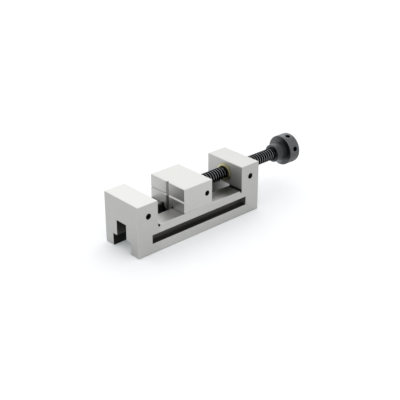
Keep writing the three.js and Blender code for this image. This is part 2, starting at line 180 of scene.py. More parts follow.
class KnobSizes(bpy.types.PropertyGroup):
    """Sizes of the knob"""

    hub_radius: metres("Hub Radius", "Radius of the hub", 0.012)
    hub_length: metres("Hub Length", "From the front face to the disc", 0.0159)
    hub_edge: metres("Hub Chamfer", "Chamfer round the hub's front", 0.0005)
    fillet: metres("Shoulder Fillet", "Round corner between hub and disc", 0.0003)
    rim_edge: metres("Rim Chamfer", "Chamfer round the disc", 0.0005)
    front_recess: metres("Front Recess", "Radius of the recess round the screw", 0.009)
    front_depth: metres("Front Depth", "Depth of the recess round the screw", 0.0031)
    rear_recess: metres("Rear Recess", "Radius of the recess for the cap screw", 0.0075)
    bore: metres("Bore", "Radius of the bore", 0.0056)
    bar_place: metres("Bar Hole Place", "From the disc's front to the tommy-bar holes", 0.009)
    bar_hole: metres("Bar Hole", "Radius of a tommy-bar hole", 0.0033)
    bar_depth: metres("Bar Hole Depth", "Depth of a tommy-bar hole", 0.0115)
    bar_point: metres("Bar Hole Point", "Radius where a tommy-bar hole's drilled cone ends", 0.0002)
    bar_mouth: metres("Bar Hole Mouth", "Chamfer round a tommy-bar hole", 0.0003)
    bar_holes: count("Bar Holes", "Tommy-bar holes round the disc", 6, 1)
    bar_turn: degrees("Bar Hole Angle", "Turn of the first hole", 44)


class FastenerSizes(bpy.types.PropertyGroup):
    """Sizes of the small screws and the washer"""

    head_height: metres("Head Height", "Height of a cap screw's head", 0.006)
    shank_radius: metres("Shank Radius", "Radius of a cap screw's shank", 0.003)
    socket_radius: metres("Socket", "Radius of a cap screw's socket over its corners", 0.0029)
    socket_depth: metres("Socket Depth", "Depth of a cap screw's socket", 0.003)
    edge: metres("Chamfer", "Chamfer of the small screws", 0.0005)
    washer_edge: metres("Washer Chamfer", "Chamfer round the washer", 0.0002)
    socket_share: factor("Set Screw Socket", "Socket's radius as a share of the screw's", 0.55)
    dog_radius: metres("Dog Point", "Radius of a retaining screw's point", 0.002)
    dog_length: metres("Dog Length", "Length of a retaining screw's point", 0.0029)


class ReliefSizes(bpy.types.PropertyGroup):
    """Sizes of the round reliefs in the steel's inner corners"""

    corner: metres("Corner", "Radius at the feet of the fixed jaw and the end block", 0.0012)
    corner_drop: metres("Corner Drop", "How far these lie below the deck", 0.001)
    root: metres("Tongue Root", "Radius along the root of the jaw's tongue", 0.001)


class FinishColours(bpy.types.PropertyGroup):
    """Colours of the finishes"""

    steel: swatch("Ground Steel", "Body, moving jaw and keeper", (0.530, 0.528, 0.516))
    # Milled steel, darkened further as painted shade in the slots, the upright groove and the tongue's corner
    milled_shade: swatch("Milled Steel", "Insides of the slots and grooves", (0.085, 0.083, 0.080))
    # Painted shade inside the tapped holes and the reliefs
    pit: swatch("Pit", "Insides of the tapped holes and the reliefs", (0.012, 0.012, 0.013))
    spindle: swatch("Black Oxide", "Lead screw", (0.009, 0.009, 0.010))
    crest: swatch("Worn Crest", "Where the oxide has worn off the thread", (0.38, 0.39, 0.40))
    knob: swatch("Grey Oxide", "Knob", (0.098, 0.101, 0.107))
    fasteners: swatch("Blackened Screws", "Small screws and washer", (0.045, 0.045, 0.047))
    worn_screws: swatch("Worn Screws", "Lock screws in the end block", (0.117, 0.117, 0.1222))
    brass: swatch("Brass", "Nut", (0.43, 0.40, 0.235))
    hardened: swatch("Polished Steel", "Ball, disc and pin", (0.62, 0.62, 0.61))


class StageSizes(bpy.types.PropertyGroup):
    """Camera, lamp, sky and floor"""

    azimuth: degrees("Camera Azimuth", "Turn of the camera from looking along +Y", -42.30)
    elevation: degrees("Camera Elevation", "Height of the camera above the horizon", 26.37)
    distance: metres("Camera Distance", "From the target to the camera", 1.1241)
    target: bpy.props.FloatVectorProperty(
        name="Camera Target", description="Point in the middle of the picture", size=3,
        subtype="TRANSLATION", unit="LENGTH", default=(-0.0152, 0.0042, 0.0221))
    lens: plain("Lens", "Focal length in millimetres", 79.38, unit="CAMERA")
    floor_size: metres("Floor Size", "Side of the floor", 12.0)
    floor_drop: metres("Floor Drop", "How far the floor lies below the vise", 0.0001)
    floor_white: factor("Floor White", "How pale the floor is", 0.85)
    floor_lift: factor("Floor Lift", "White added to the floor as a backdrop", 0.15)
    floor_tint: swatch("Floor Tint", "Colour of the added white", (0.85, 0.95, 1.0))
    sky: plain("Sky", "Brightness of the soft light all round", 1.05)
    lamp_elevation: degrees("Lamp Elevation", "Height of the big lamp above the horizon", 32)
    lamp_distance: metres("Lamp Distance", "From the target to the lamp", 2.6)
    lamp_width: metres("Lamp Width", "Width of the lamp", 3.0)
    lamp_height: metres("Lamp Height", "Height of the lamp", 1.7)
    lamp_level: plain("Lamp Level", "How bright the lamp's face is", 0.85)


def clear_selection():
    """Leave edit mode and deselect everything."""
    if bpy.context.object and bpy.context.object.mode != "OBJECT":
        bpy.ops.object.mode_set(mode="OBJECT")
    bpy.ops.object.select_all(action="DESELECT")


def make_active(piece):
    """Select one piece alone."""
    clear_selection()
    piece.select_set(True)
    bpy.context.view_layer.objects.active = piece


def edit(piece):
    """Open one piece in edit mode."""
    make_active(piece)
    bpy.ops.object.mode_set(mode="EDIT")


def leave_edit():
    """Close edit mode."""
    bpy.ops.object.mode_set(mode="OBJECT")


def apply_place(piece):
    """Move a piece's place, turn and scale into its mesh."""
    make_active(piece)
    bpy.ops.object.transform_apply(location=True, rotation=True, scale=True)


def put(piece, origin, direction=X_AXIS):
    """Place a piece that was made along +X from the origin: its origin there, its +X that way."""
    piece.rotation_euler = X_AXIS.rotation_difference(Vector(direction)).to_euler()
    piece.location = origin
    apply_place(piece)


def put_in(piece, node, axis, sign, reach):
    """Turn a piece that was made along +X to an axis, + or -, its far end where its CAD node ends."""
    low, high = span(node, axis)
    index = "xyz".index(axis)
    origin, direction = middle(node), [0, 0, 0]
    origin[index] = high - reach if sign > 0 else low + reach
    direction[index] = sign
    put(piece, origin, direction)


def copy_of(piece, name):
    """A copy of a piece with its own mesh."""
    twin = piece.copy()
    twin.data = piece.data.copy()
    twin.name = name
    bpy.context.scene.collection.objects.link(twin)
    return twin


def select_where(piece, mode, test):
    """In edit mode, select the faces, edges or vertices that pass a test."""
    bpy.ops.mesh.select_mode(type=mode)
    bpy.ops.mesh.select_all(action="DESELECT")
    mesh = bmesh.from_edit_mesh(piece.data)
    for element in {"FACE": mesh.faces, "EDGE": mesh.edges, "VERT": mesh.verts}[mode]:
        if test(element):
            element.select_set(True)
    mesh.select_flush_mode()
    bmesh.update_edit_mesh(piece.data)


def add_rod(name, start, end, radius, sides):
    """A cylinder on the X axis, from one place to another."""
    clear_selection()
    bpy.ops.mesh.primitive_cylinder_add(
        vertices=sides, radius=radius, depth=end - start,
        location=((start + end) / 2, 0, 0), rotation=(0, math.pi / 2, 0))
    piece = bpy.context.object
    piece.name = name
    apply_place(piece)
    return piece


def turn_on(piece, end, sign, profile):
    """Go on from a round end face, at (place, radius), through more (place, radius) points."""
    x, radius = end

    def on_cap(face):
        close = abs(face.calc_center_median().x - x) < SAME_PLACE
        return close and face.normal.x * sign > END_FACE

    edit(piece)
    select_where(piece, "FACE", on_cap)
    for next_x, next_radius in profile:
        bpy.ops.mesh.extrude_region_move(TRANSFORM_OT_translate={"value": (next_x - x, 0, 0)})
        ratio = next_radius / radius
        bpy.ops.transform.resize(value=(1, ratio, ratio), center_override=(next_x, 0, 0))
        x, radius = next_x, next_radius
    leave_edit()


def bevel_ring(piece, x, radius, width, segments=1):
    """Bevel the round edge at a place and a radius."""
    def on_ring(vertex):
        off_axis = math.hypot(vertex.co.y, vertex.co.z)
        return abs(vertex.co.x - x) < SAME_RING and abs(off_axis - radius) < SAME_RING

    edit(piece)
    select_where(piece, "EDGE", lambda e: all(on_ring(v) for v in e.verts))
    bpy.ops.mesh.bevel(offset=width, segments=segments, affect="EDGES")
    leave_edit()


def cut(piece, cutter, operation="DIFFERENCE"):
    """Cut or trim with another mesh, which is then deleted."""
    make_active(piece)
    modifier = piece.modifiers.new("Cut", "BOOLEAN")
    modifier.operation = operation
    modifier.solver = "EXACT"
    modifier.object = cutter
    bpy.ops.object.modifier_apply(modifier=modifier.name)
    bpy.data.objects.remove(cutter)


def bore(piece, start, end, radius, sides):
    """Cut a round hole on the X axis, from one place to another."""
    cut(piece, add_rod("bore", start, end, radius, sides))


def hex_socket(piece, end, radius, depth):
    """Cut a hexagon socket with a drilled bottom into the end that looks along +X."""
    bottom = end - depth
    point_depth, point_radius = radius / 4, radius / 8
    socket = add_rod("socket", bottom, end + depth, radius, SIDES["hexagon"])
    turn_on(socket, (bottom, radius), -1, [(bottom - point_depth, point_radius)])
    cut(piece, socket)


def face_outwards(piece):
    """Turn all faces of a piece outwards."""
    edit(piece)
    bpy.ops.mesh.select_all(action="SELECT")
    bpy.ops.mesh.normals_make_consistent(inside=False)
    leave_edit()


def finish_piece(piece, body, slot, material, *nodes):
    """Shade a piece, give it its material and body, and put it in the place of its CAD nodes."""
    face_outwards(piece)
    bpy.ops.object.shade_smooth_by_angle(angle=SMOOTH_ANGLE)
    piece.data.materials.clear()
    piece.data.materials.append(material)
    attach(piece, body)
    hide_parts(*nodes)


Thread = namedtuple("Thread", "pitch root crest crest_width root_width rounding crest_at steps")


def thread_between(root, crest, play, rounding):
    """The screw's thread between two radii, wider by a play on each flank."""
    sizes = bpy.context.scene.vise_thread
    slope = 2 * math.tan(sizes.flank)
    crest_width, root_width = (
        sizes.crest + 2 * play + (radius_of("lead_screw") - radius) * slope
        for radius in (crest, root))
    return Thread(
        sizes.pitch, root, crest, crest_width, root_width, rounding, JAW_REAR, sizes.steps)


def threaded_rod(name, thread, start, end):
    """A rod on the X axis with a right-hand thread, its ends flat, made by screwing one profile."""
    half = thread.pitch / 2
    close = thread.pitch / 100
    turns = math.floor((start - thread.crest_at) / thread.pitch - 1)
    first_crest = thread.crest_at + turns * thread.pitch
    rise = (
        (half, thread.root), (thread.root_width / 2, thread.root),
        (thread.crest_width / 2, thread.crest))
    profile = [(first_crest - offset, radius) for offset, radius in rise]
    profile += [(first_crest + offset, radius) for offset, radius in reversed(rise)]
    clear_selection()
    bpy.ops.mesh.primitive_plane_add(size=thread.pitch, location=(0, -half, 0))
    rod = bpy.context.object
    rod.name = name
    apply_place(rod)
    edit(rod)
    select_where(rod, "VERT", lambda v: v.co.y < -half)
    bpy.ops.mesh.delete(type="VERT")
    bpy.ops.mesh.select_all(action="SELECT")
    bpy.ops.mesh.subdivide(number_cuts=len(profile) - 2)
    places = sorted(tuple(v.co) for v in bmesh.from_edit_mesh(rod.data).verts)
    for place, (x, radius) in reversed(list(zip(places, profile))):
        old = Vector(place)
        select_where(rod, "VERT", lambda v, old=old: (v.co - old).length < close)
        bpy.ops.transform.translate(value=Vector((x, 0, radius)) - old)
    inner = (first_crest - half + close, first_crest + half - close)
    select_where(rod, "VERT", lambda v: inner[0] < v.co.x < inner[1])
    bpy.ops.mesh.bevel(offset=thread.rounding, segments=FILLET_STEPS, affect="VERTICES")
    leave_edit()
    screw = rod.modifiers.new("Screw", "SCREW")
    screw.axis = "X"
    screw.angle = FULL_TURN
    screw.screw_offset = thread.pitch
    screw.iterations = math.ceil((end - first_crest) / thread.pitch) + 1
    screw.steps = screw.render_steps = thread.steps
    bpy.ops.object.modifier_apply(modifier=screw.name)
    edit(rod)
    bpy.ops.mesh.select_all(action="SELECT")
    bpy.ops.mesh.remove_doubles(threshold=SAME_PLACE)
    for place, side in ((start, -1), (end, 1)):
        bpy.ops.mesh.select_all(action="SELECT")
        bpy.ops.mesh.bisect(
            plane_co=(place, 0, 0), plane_no=(side, 0, 0), use_fill=True, clear_outer=True,
            threshold=HAIR)
    face_outwards(rod)
    return rod


def chamfered_threads(name, thread, start, end, ends_radius):
    """A threaded rod whose thread runs out in a chamfer of 45 degrees at both ends."""
    rod = threaded_rod(name, thread, start, end)
    crown = thread.crest + thread.rounding + HAIR
    run_out = crown - ends_radius
    envelope = add_rod("envelope", start + run_out, end - run_out, crown, 2 * thread.steps)
    turn_on(envelope, (start + run_out, crown), -1, [(start, ends_radius)])
    turn_on(envelope, (end - run_out, crown), 1, [(end, ends_radius)])
    cut(rod, envelope, "INTERSECT")
    return rod


# A noise over a surface: scales per metre along three axes, detail, and its shares in tone and roughness
Grain = namedtuple("Grain", "scales detail tone gloss")
LAY = Grain((45, 5200, 5200), 3.0, 0.10, 0.0)
STREAKS = Grain((9, 900, 900), 3.0, 0.07, 0.05)
PATCHES = Grain((22, 22, 22), 2.0, 0.10, 0.08)
RINGS = Grain((3200, 3200, 0.6), 2.0, 0.22, 0.0)
TURNED_PATCHES = Grain((180, 180, 180), 3.0, 0.35, 0.14)
TURNED_SPECKS = Grain((1600, 1600, 1600), 2.0, 0.15, 0.0)
PLAIN_PATCHES = Grain((260, 260, 260), 3.0, 0.4, 0.16)
PLAIN_SPECKS = Grain((2600, 2600, 2600), 2.0, 0.25, 0.0)

# Depth in metres and strength of the fine relief, and the shares of the streaks and the specks in it
GROUND_RELIEF, TURNED_RELIEF, PLAIN_RELIEF = (0.00001, 0.4), (0.00001, 0.5), (0.000008, 0.4)
STREAKS_RELIEF, SPECKS_RELIEF = 0.3, 0.5

# How squarely a face looks along an axis: a flat face, a groove's flank, and a chamfer's two limits
FLAT, FLANK, CHAMFER = 0.7, 0.5, (0.35, 0.93)

# Places on the steel. The openings' boxes keep BOX_GAP off the deck and a hair off the other faces.
BOX_GAP = 0.0002
NEAR_FACE = 0.0005
DECK = OPENINGS["beside_screw_far"][0][2]
BLOCK_FACE = OPENINGS["beside_screw_far"][1][0]
JAW_FACE = OPENINGS["jaw_gap"][0][0]
SLOT_LEDGE = OPENINGS["wide_slot_front"][1][2]
SLOT_TOP = OPENINGS["narrow_slot_front"][1][2]
SLOT_SIDE = OPENINGS["narrow_slot_rear"][1][1]
SLOT_BOTTOM = OPENINGS["narrow_slot_rear"][0][2]

# Across the deck: where the painted shade beside the slot ends, and the painted dark line in it
SLOT_FAR_EDGE, DECK_SEAM = 0.0115, 0.0097

# The moving jaw's grooves: how deep they are, and how far the cross groove lies below the screw's axis
GROOVE_DEPTH, CROSS_DROP = 0.0026, 0.0013
CROSS_HEIGHT = SCREW_HEIGHT - CROSS_DROP

# The painted dark reflection at the tongue's far root: its top at (y, z), the slopes from there to either side
# and the height of its lower edge at y 0; and the painted shade of the small relief beside it at (y, z, radius)
TONGUE_CORNER, TONGUE_SLOPES, TONGUE_RISE = (0.0117, 0.0362), (0.35, -1.54), 0.0264
TONGUE_RELIEF_SHADE = (0.0083, 0.0349, 0.0007)

# How far the painted shade of a slot, a tapped hole, a corner relief and the tongue's relief reaches round it
SLOT_MARGIN, HOLE_MARGIN, CORNER_MARGIN, ROOT_MARGIN = 0.00015, 0.00045, 0.0004, 0.0005

# Even tones, as shares of the colour that they are on: painted shade on the end faces, a painted reflection on the
# rear deck, painted shade in the slots and in the tommy-bar holes, a painted dark reflection at the tongue's
# corner, the share of the milled grain, and a painted highlight on edges
END_TONE, DECK_TONE = 0.87, 1.15
CLAMP_SLOT_TONE, SLOT_FLOOR_TONE, MILLED_SHARE = 1.2, 0.28, 0.5
TONGUE_TONE = 0.3
BAR_HOLE_TONE = 0.1
EDGE_HIGHLIGHT = 0.14

# Roughness of the ground faces, what milling adds and deck grinding takes away, and that of a deep hole
STEEL_ROUGHNESS, MILLED_ADDS, DECK_LESS, PIT_ROUGHNESS = 0.425, 0.08, 0.05, 0.8

# The worn line: its sharp and its faded width as shares of the crest, and the roughness that it loses;
# the colour of the oxide's sheen; and how far the painted slanting shade of a turned face leans over
CREST_LINE, WORN_LESS = (0.12, 0.28), 0.08
OXIDE_SHEEN = (0.3, 0.3, 0.3, 1)
SLANT = 0.37

# Fades between two places in metres, or two levels of a mask: from, to, value at from, value at to
FADES = {
    # A painted highlight on chamfers and round faces, the shine kept in the painted shade of the pits, and the
    # specks of the crest's wear
    "broken_edge": (0.80, 0.97, EDGE_HIGHLIGHT, 0.0),
    "pit_shine": (0.0, 1.0, 0.5, 0.1),
    "worn_specks": (0.30, 0.62, 0.6, 1.0),
    # Painted reflections and shade on the body's sides and top, and on the slot's walls
    "side_by_jaw": (JAW_FACE, JAW_FACE + 0.004, 0.92, 1.0),
    "side_along": (-0.06, 0.04, 1.0, 0.84),
    "side_up": (0.0, DECK, 1.03, 1.0),
    "side_foot": (0.0, 0.0035, 0.86, 1.0),
    "top_along": (BODY_START, BODY_END, 1.07, 0.93),
    "slot_wall_along": (0.009, 0.036, 0.50, 1.0),
    "slot_wall_up": (SLOT_LEDGE, SLOT_TOP, 1.6, 0.45),
    # Where the painted shade in the T-slot and on the deck changes over, under the jaw
    "under_jaw": (JAW_FRONT, JAW_REAR, 0.0, 1.0),
    # Painted reflection and shade on the end block's face, near black at its foot; then its roughness across
    "block_near": (DECK, BODY_TOP, 0.55, 1.12),
    "block_far": (DECK, BODY_TOP, 0.80, 0.93),
    "block_across": (0.0, 0.012, 0.0, 1.0),
    "block_foot": (DECK + 0.0006, DECK + 0.0018, 0.06, 1.0),
    "block_gloss": (-0.005, 0.01, 0.17, 0.0),
    # Painted reflections and shade on the deck, darkest along a seam and at the end block's foot
    "deck_front": (-0.098, -0.076, 0.90, 0.66),
    "deck_seam": (0.0012, 0.0022, 0.15, 1.0),
    "deck_behind": (-0.012, 0.004, 0.0, 1.0),
    "deck_across": (0.010, 0.028, 0.30, 0.68),
    "deck_foot": (BLOCK_FACE - 0.0048, BLOCK_FACE - 0.0014, 0.0, 1.0),
    "deck_by_slot": (0.0, 1.0, 0.08, 1.0),
    # Painted shade in the jaw's upright groove and on the cross groove's flanks
    "groove_up": (SCREW_HEIGHT - 2 * GROOVE_DEPTH, SCREW_HEIGHT, 1.8, 4.7),
    "cross_flanks": (CROSS_HEIGHT - HAIR, CROSS_HEIGHT + HAIR, 0.82, 0.6),
}


def math_node(operation):
    """A method of Value: a Math node with an operation on the value and on any others."""
    def method(value, *others):
        return value.tree.add("Math", dict(enumerate((value, *others))), operation=operation)

    return method


class Value:
    """A node's output, to count with: each operator adds a Math node, | the larger, & the smaller"""

    def __init__(self, tree, socket):
        self.tree = tree
        self.socket = socket

    def __rsub__(self, other):
        return self * -1.0 + other

    __add__ = __radd__ = math_node("ADD")
    __sub__ = math_node("SUBTRACT")
    __mul__ = math_node("MULTIPLY")
    __truediv__ = math_node("DIVIDE")
    __gt__ = math_node("GREATER_THAN")
    __lt__ = math_node("LESS_THAN")
    __or__ = math_node("MAXIMUM")
    __and__ = math_node("MINIMUM")
    __abs__ = math_node("ABSOLUTE")
    fraction = math_node("FRACT")
    angle = math_node("ARCTAN2")

    def ramp(self, *levels):
        """A value that fades between two places, given like a row of FADES."""
        names = ("Value", "From Min", "From Max", "To Min", "To Max")
        return self.tree.add("MapRange", dict(zip(names, (self, *levels))))


class Tree:
    """The nodes of a material or of the world, added one by one"""

    def __init__(self, owner):
        owner.use_nodes = True
        self.nodes = owner.node_tree.nodes
        self.links = owner.node_tree.links

    def new(self, kind, inputs, **settings):
        """Add a node; an input is given a Value to link or a plain value."""
        node = self.nodes.new("ShaderNode" + kind)
        for name, value in settings.items():
            setattr(node, name, value)
        for name, value in inputs.items():
            self.feed(node, name, value)
        return node

    def add(self, kind, inputs, output=0, **settings):
        """Add a node and return one of its outputs."""
        return Value(self, self.new(kind, inputs, **settings).outputs[output])

    def feed(self, node, name, value):
        """Link a Value to a node's input, or set the input to a plain value."""
        if isinstance(value, Value):
            self.links.new(value.socket, node.inputs[name])
        else:
            node.inputs[name].default_value = value

    def vector(self, x, y, z):
        """A vector of three parts."""
        return self.add("CombineXYZ", {0: x, 1: y, 2: z})

    def parts(self, vector):
        """The three parts of a vector."""
        return [Value(self, socket) for socket in self.new("SeparateXYZ", {0: vector}).outputs]


class Finish(Tree):
    """A material whose nodes end in its Principled shader"""

    def __init__(self, name, metallic=1.0):
        self.material = bpy.data.materials.new(name)
        super().__init__(self.material)
        self.shader = self.nodes["Principled BSDF"]
        self.feed(self.shader, "Metallic", metallic)

    def place(self, centre=(0, 0, 0)):
        """The three parts of the Object coordinates, counted from a centre."""
        coordinates = self.add("TexCoord", {}, "Object")
        return self.parts(self.add("VectorMath", {0: coordinates, 1: centre}, operation="SUBTRACT"))

    def facing(self):
        """How squarely a face looks along each axis, from 0 to 1."""
        return [abs(part) for part in self.parts(self.add("NewGeometry", {}, "Normal"))]

    def noise(self, place, grain):
        """Noise from 0 to 1 over a place."""
        vector = self.vector(*(part * scale for part, scale in zip(place, grain.scales)))
        return self.add("TexNoise", {"Vector": vector, "Scale": 1.0, "Detail": grain.detail})

    def close(self, colour, roughness, height, depth, strength):
        """Give the shader its colour, roughness and fine relief, and return the material."""
        bump = self.add("Bump", {"Height": height, "Distance": depth, "Strength": strength})
        for name, value in (("Base Color", colour), ("Roughness", roughness), ("Normal", bump)):
            self.feed(self.shader, name, value)
        return self.material


def fade(value, name):
    """One of the named fades over a value."""
    return value.ramp(*FADES[name])


def inside(value, low, high):
    """1 where a value is between two limits."""
    return (value > low) * (value < high)


def radius_at(first, second):
    """Distance from zero, by two parts of a place."""
    vector = first.tree.vector(first, second, 0.0)
    return first.tree.add("VectorMath", {0: vector}, "Value", operation="LENGTH")


def bores(first, second, places, margin):
    """1 within bores at (first, second, radius), by the two parts across their axis."""
    mask = first * 0.0
    for first_centre, second_centre, radius in places:
        mask = mask | (radius_at(first - first_centre, second - second_centre) < radius + margin)
    return mask


def vary(base, *noises):
    """A value that varies round its base, from (noise, share) pairs."""
    return sum(((noise - 0.5) * share for noise, share in noises), base)


def level(mask, value):
    """A factor: the value where the mask is 1, and 1 where it is 0."""
    return mask * (value - 1.0) + 1.0


def blend(share, first, second):
    """Two values mixed by a share."""
    return share.tree.add("Mix", {0: share, 2: first, 3: second})


def mix(share, first, second):
    """Two colours mixed by a share."""
    return share.tree.add("Mix", {0: share, 6: first, 7: second}, 2, data_type="RGBA")


def tint(colour, tone):
    """A colour made lighter or darker by a factor."""
    return tone.tree.add("VectorMath", {0: tuple(colour), "Scale": tone}, operation="SCALE")


# A point of a steel surface: its place, how far it lies to either side, and how squarely it looks along
# each axis
Spot = namedtuple("Spot", "x y z side on_x on_y on_z")


def body_layers(at):
    """(mask, tone) of the body's clamping slots and of its T-slot, which are milled and carry painted shade."""
    low, high = OPENINGS["side_slot_far"]
    # Painted shade in the clamping slots
    clamp = (
        inside(at.x, low[0] - SLOT_MARGIN, high[0] + SLOT_MARGIN)
        * inside(at.z, low[2] - SLOT_MARGIN, high[2] + SLOT_MARGIN)
        * inside(at.side, low[1] - SLOT_MARGIN, BODY_SIDE - SLOT_MARGIN / 3))
    # Painted shade in the T-slot: darker under the ledge, and left off the upper walls behind the jaw
    wide, narrow = (
        (at.side < OPENINGS[name][1][1] + SLOT_MARGIN) * (at.z < OPENINGS[name][1][2] + SLOT_MARGIN)
        for name in ("wide_slot_front", "narrow_slot_front"))
    upper = at.z > SLOT_LEDGE - SLOT_MARGIN
    dark = ((wide | narrow) - upper * fade(at.x, "under_jaw")) | 0.0
    tone = upper * fade(at.z, "slot_wall_up") + SLOT_FLOOR_TONE
    return [(clamp, CLAMP_SLOT_TONE), (dark, tone)]


def body_pit_shade(at):
    """1 where shade is painted: in the body's tapped holes and in the reliefs of its corners, but not on the
    slot's far wall.
    """
    sizes = bpy.context.scene.vise_reliefs
    stop = OPENINGS["stop_hole_near"]
    stop_x, stop_z = ((stop[0][number] + stop[1][number]) / 2 for number in (0, 2))
    lock = middle("nut_lock_screw_near")
    radius = radius_of("nut_lock_screw_near", "x") + FIT_GAP
    holes = bores(at.x, at.z, [(stop_x, stop_z, radius), (lock.x, lock.z, radius)], HOLE_MARGIN)
    height = DECK - BOX_GAP - sizes.corner_drop
    feet = ((JAW_FACE, 1), (BLOCK_FACE, -1))
    corners = [(foot + sign * sizes.corner, height, sizes.corner) for foot, sign in feet]
    off_wall = 1.0 - inside(at.y, 0.0, SLOT_FAR_EDGE)
    return holes | (off_wall * bores(at.x, at.z, corners, CORNER_MARGIN))


def deck_tone(at):
    """Painted reflections and shade on the deck, before the jaw and behind it, and painted dark where it meets the
    end block.
    """
    by_slot = fade(inside(at.y, 0.0, SLOT_FAR_EDGE), "deck_by_slot")
    rear = blend(fade(at.x, "deck_behind"), DECK_TONE, fade(at.side, "deck_across"))
    rear = rear * level(fade(at.x, "deck_foot"), by_slot)
    front = fade(at.x, "deck_front") * fade(abs(at.y - DECK_SEAM), "deck_seam")
    return blend(fade(at.x, "under_jaw"), front, rear)


def body_faces(at):
    """(tone, added roughness) of the body's faces: painted reflections and shade on the sides, ends, top, slot
    walls, end block's face and deck; a finely ground deck, a coarser end block.
    """
    on_end, on_side, on_top = at.on_x > FLAT, at.on_y > FLAT, at.on_z > FLAT
    high = on_top * (at.z > DECK + NEAR_FACE)
    deck = on_top * inside(at.z, DECK - NEAR_FACE, DECK + NEAR_FACE)
    block = on_end * inside(at.x, BLOCK_FACE - NEAR_FACE, BLOCK_FACE + NEAR_FACE)
    slot_wall = on_side * (at.side < SLOT_SIDE + NEAR_FACE) * (at.z > SLOT_BOTTOM)
    # Painted reflections and shade on the sides, darker by the jaw and at the foot, and on the slot's walls
    side_tone = (
        fade(at.x, "side_by_jaw") * fade(at.x, "side_along") * fade(at.z, "side_up")
        * fade(at.z, "side_foot") * level(slot_wall, fade(at.x, "slot_wall_along")))
    # Painted reflection and shade on the end block's face: darker low down and on the near side, near black at its
    # foot
    block_tone = fade(at.z, "block_foot") * blend(
        fade(at.y, "block_across"), fade(at.z, "block_near"), fade(at.z, "block_far"))
    # END_TONE paints shade on the end faces; top_along paints the top lighter at the front
    tone = (
        level(on_side, side_tone) * level(on_end - block, END_TONE)
        * level(high, fade(at.x, "top_along")) * level(block, block_tone)
        * level(deck, deck_tone(at)))
    return tone, block * fade(at.y, "block_gloss") - deck * DECK_LESS


def jaw_layers(at):
    """(mask, tone) of the painted shade in the jaw's upright groove and of the painted dark reflection at the
    tongue's far root.
    """
    groove = (at.x < JAW_FRONT + GROOVE_DEPTH) * (at.side < GROOVE_DEPTH) * (at.on_y > FLANK)
    corner_y, corner_z = TONGUE_CORNER
    first, second = ((at.y - corner_y) * slope + corner_z for slope in TONGUE_SLOPES)
    below = at.z < (first & second & (at.y + TONGUE_RISE))
    return [
        (groove, fade(at.z, "groove_up")),
        (below * (at.x < JAW_FRONT + HAIR), TONGUE_TONE)]


def jaw_pit_shade(at):
    """1 where shade is painted: in the jaw's tapped holes and in the reliefs at the root of its tongue."""
    root = bpy.context.scene.vise_reliefs.root
    retainer = middle("retaining_screw_near")
    radius = radius_of("retaining_screw_near", "x") + FIT_GAP
    roots = [(SLOT_SIDE + FIT_GAP, DECK - BOX_GAP + root / 2, root), TONGUE_RELIEF_SHADE]
    return (
        bores(at.x, at.z, [(retainer.x, retainer.z, radius)], HOLE_MARGIN)
        | bores(at.side, at.z, roots, ROOT_MARGIN))


def jaw_faces(at):
    """(tone, added roughness) of the jaw: painted shade on the cross groove's far half, its upper flank the
    darker.
    """
    groove = (
        (at.x < JAW_FRONT + GROOVE_DEPTH) * (at.on_z > FLANK) * (at.y > 0.0)
        * inside(at.z, CROSS_HEIGHT - GROOVE_DEPTH, CROSS_HEIGHT + GROOVE_DEPTH))
    return level(groove, fade(at.z, "cross_flanks")), 0.0


def ground_steel(name, faces=None, layers=None, pit_shades=None):
    """Hardened steel with the fine straight lay of a surface grinder.

    Each option is a function of a Spot: faces gives a painted tone of shade and reflections and an added
    roughness, layers the (mask, tone) pairs of milled hollows darkened with painted shade, and the last option
    a mask of holes too deep for light, painted dark as shade.
    """
    colours = bpy.context.scene.vise_colours
    finish = Finish(name)
    x, y, z = finish.place()
    facing = finish.facing()
    on_end = facing[0] > FLAT
    ground = (blend(on_end, x, y), y * (1.0 - on_end), z)
    lay, streaks = (finish.noise(ground, grain) for grain in (LAY, STREAKS))
    patches = finish.noise((x, y, z), PATCHES)
    tone = vary(1.0, (lay, LAY.tone), (streaks, STREAKS.tone), (patches, PATCHES.tone))
    # Painted highlight: chamfers and round faces are lightened
    tone = tone + fade(facing[0] | facing[1] | facing[2], "broken_edge")
    roughness = vary(STEEL_ROUGHNESS, (streaks, STREAKS.gloss), (patches, PATCHES.gloss))
    at = Spot(x, y, z, abs(y), *facing)
    # Painted shade and reflections of the faces
    if faces:
        face_tone, added_roughness = faces(at)
        tone = tone * face_tone
        roughness = roughness + added_roughness
    colour = tint(colours.steel, tone)
    # Milled hollows, darkened with painted shade
    if layers:
        milled_shade = vary(1.0, (streaks, MILLED_SHARE), (patches, MILLED_SHARE))
        for mask, share in layers(at):
            colour = mix(mask, colour, tint(colours.milled_shade, milled_shade * share))
            roughness = roughness + mask * MILLED_ADDS
    if pit_shades:
        # Painted shade in the pits: near black, rough and without metal shine
        pit = pit_shades(at)
        colour = mix(pit, colour, (*colours.pit, 1))
        roughness = roughness | (pit * PIT_ROUGHNESS)
        finish.feed(finish.shader, "Metallic", 1.0 - pit)
        finish.feed(finish.shader, "Specular IOR Level", fade(pit, "pit_shine"))
    return finish.close(colour, roughness, streaks * STREAKS_RELIEF + lay, *GROUND_RELIEF)


def crest_line(x, around, thread):
    """1 on a narrow line in the middle of the thread's crest."""
    turns = (x - thread.crest_at) / thread.pitch - (around - math.pi / 2) / FULL_TURN
    off_line = abs((turns + 0.5).fraction() - 0.5)
    sharp, faded = (share * thread.crest_width / thread.pitch for share in CREST_LINE)
    return off_line.ramp(sharp, faded, 1.0, 0.0)


# A ring of a turned face between two radii, with painted light and shade: its tone fades along y or along the
# slant
Band = namedtuple("Band", "inner outer along levels")


